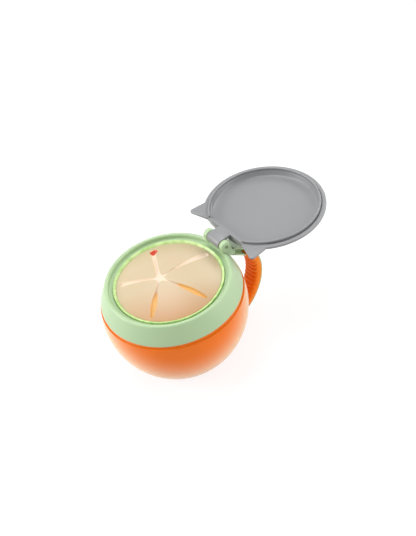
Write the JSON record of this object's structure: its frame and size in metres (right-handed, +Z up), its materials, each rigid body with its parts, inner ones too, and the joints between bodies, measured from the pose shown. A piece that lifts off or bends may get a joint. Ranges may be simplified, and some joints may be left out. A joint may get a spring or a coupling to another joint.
{
  "type": "toddler snack container",
  "caption": "Toddler snack cup with a round orange bowl, a green screw collar with a ribbed side handle, soft slit flaps and a hinged grey lid.",
  "frame": {"origin": "centre of the bowl's flat base", "axes": "+Z up along the bowl's axis, +Y from the bowl towards the hinge and the handle, X along the hinge pin"},
  "size_m": [0.1008, 0.1779, 0.0807],
  "materials": {
    "bowl": "gloss",
    "collar": "satin",
    "grip": "satin",
    "carrier": "satin",
    "membrane": "satin",
    "lid": "satin",
    "liner": "satin",
    "pin": "plain"
  },
  "bodies": {
    "bowl": {"bowl": "bowl"},
    "insert": {"flap_carrier": "carrier", "membrane_rim": "membrane"},
    "collar": {"collar": "collar", "handle_grip": "grip", "hinge_pin": "pin"},
    "lid": {"lid_shell": "lid", "lid_liner": "liner"},
    "flap_1": {"flap_1": "membrane"},
    "flap_2": {"flap_2": "membrane"},
    "flap_3": {"flap_3": "membrane"},
    "flap_4": {"flap_4": "membrane"},
    "flap_5": {"flap_5": "membrane"}
  },
  "joints": [
    {"name": "insert_lift", "type": "slide", "parent": "bowl", "child": "insert", "axis": [0, 0, 1], "range_m": [0, 0.01]},
    {"name": "collar_turn", "type": "hinge", "parent": "insert", "child": "collar", "pos_m": [0, 0, 0.057], "axis": [0, 0, 1], "range_deg": [0, 360.1]},
    {"name": "lid_hinge", "type": "hinge", "parent": "collar", "child": "lid", "pos_m": [0, 0.0424, 0.0748], "axis": [1, 0, 0], "range_deg": [0, 180]},
    {"name": "flap_1_bend", "type": "hinge", "parent": "insert", "child": "flap_1", "pos_m": [-0.0156, 0.02147, 0.06556], "axis": [0.809, 0.5878, 0], "range_deg": [0, 40], "stiffness_Nm_per_rad": 0.002},
    {"name": "flap_2_bend", "type": "hinge", "parent": "insert", "child": "flap_2", "pos_m": [-0.02524, -0.0082, 0.06556], "axis": [-0.309, 0.9511, 0], "range_deg": [0, 40], "stiffness_Nm_per_rad": 0.002},
    {"name": "flap_3_bend", "type": "hinge", "parent": "insert", "child": "flap_3", "pos_m": [0, -0.02654, 0.06556], "axis": [-1, 0, 0], "range_deg": [0, 40], "stiffness_Nm_per_rad": 0.002},
    {"name": "flap_4_bend", "type": "hinge", "parent": "insert", "child": "flap_4", "pos_m": [0.02524, -0.0082, 0.06556], "axis": [-0.309, -0.9511, 0], "range_deg": [0, 40], "stiffness_Nm_per_rad": 0.002},
    {"name": "flap_5_bend", "type": "hinge", "parent": "insert", "child": "flap_5", "pos_m": [0.0156, 0.02147, 0.06556], "axis": [0.809, -0.5878, 0], "range_deg": [0, 40], "stiffness_Nm_per_rad": 0.002}
  ],
  "couplings": [
    {"joint": "collar_turn", "follows": "insert_lift", "rad_per_m": 628.3}
  ]
}
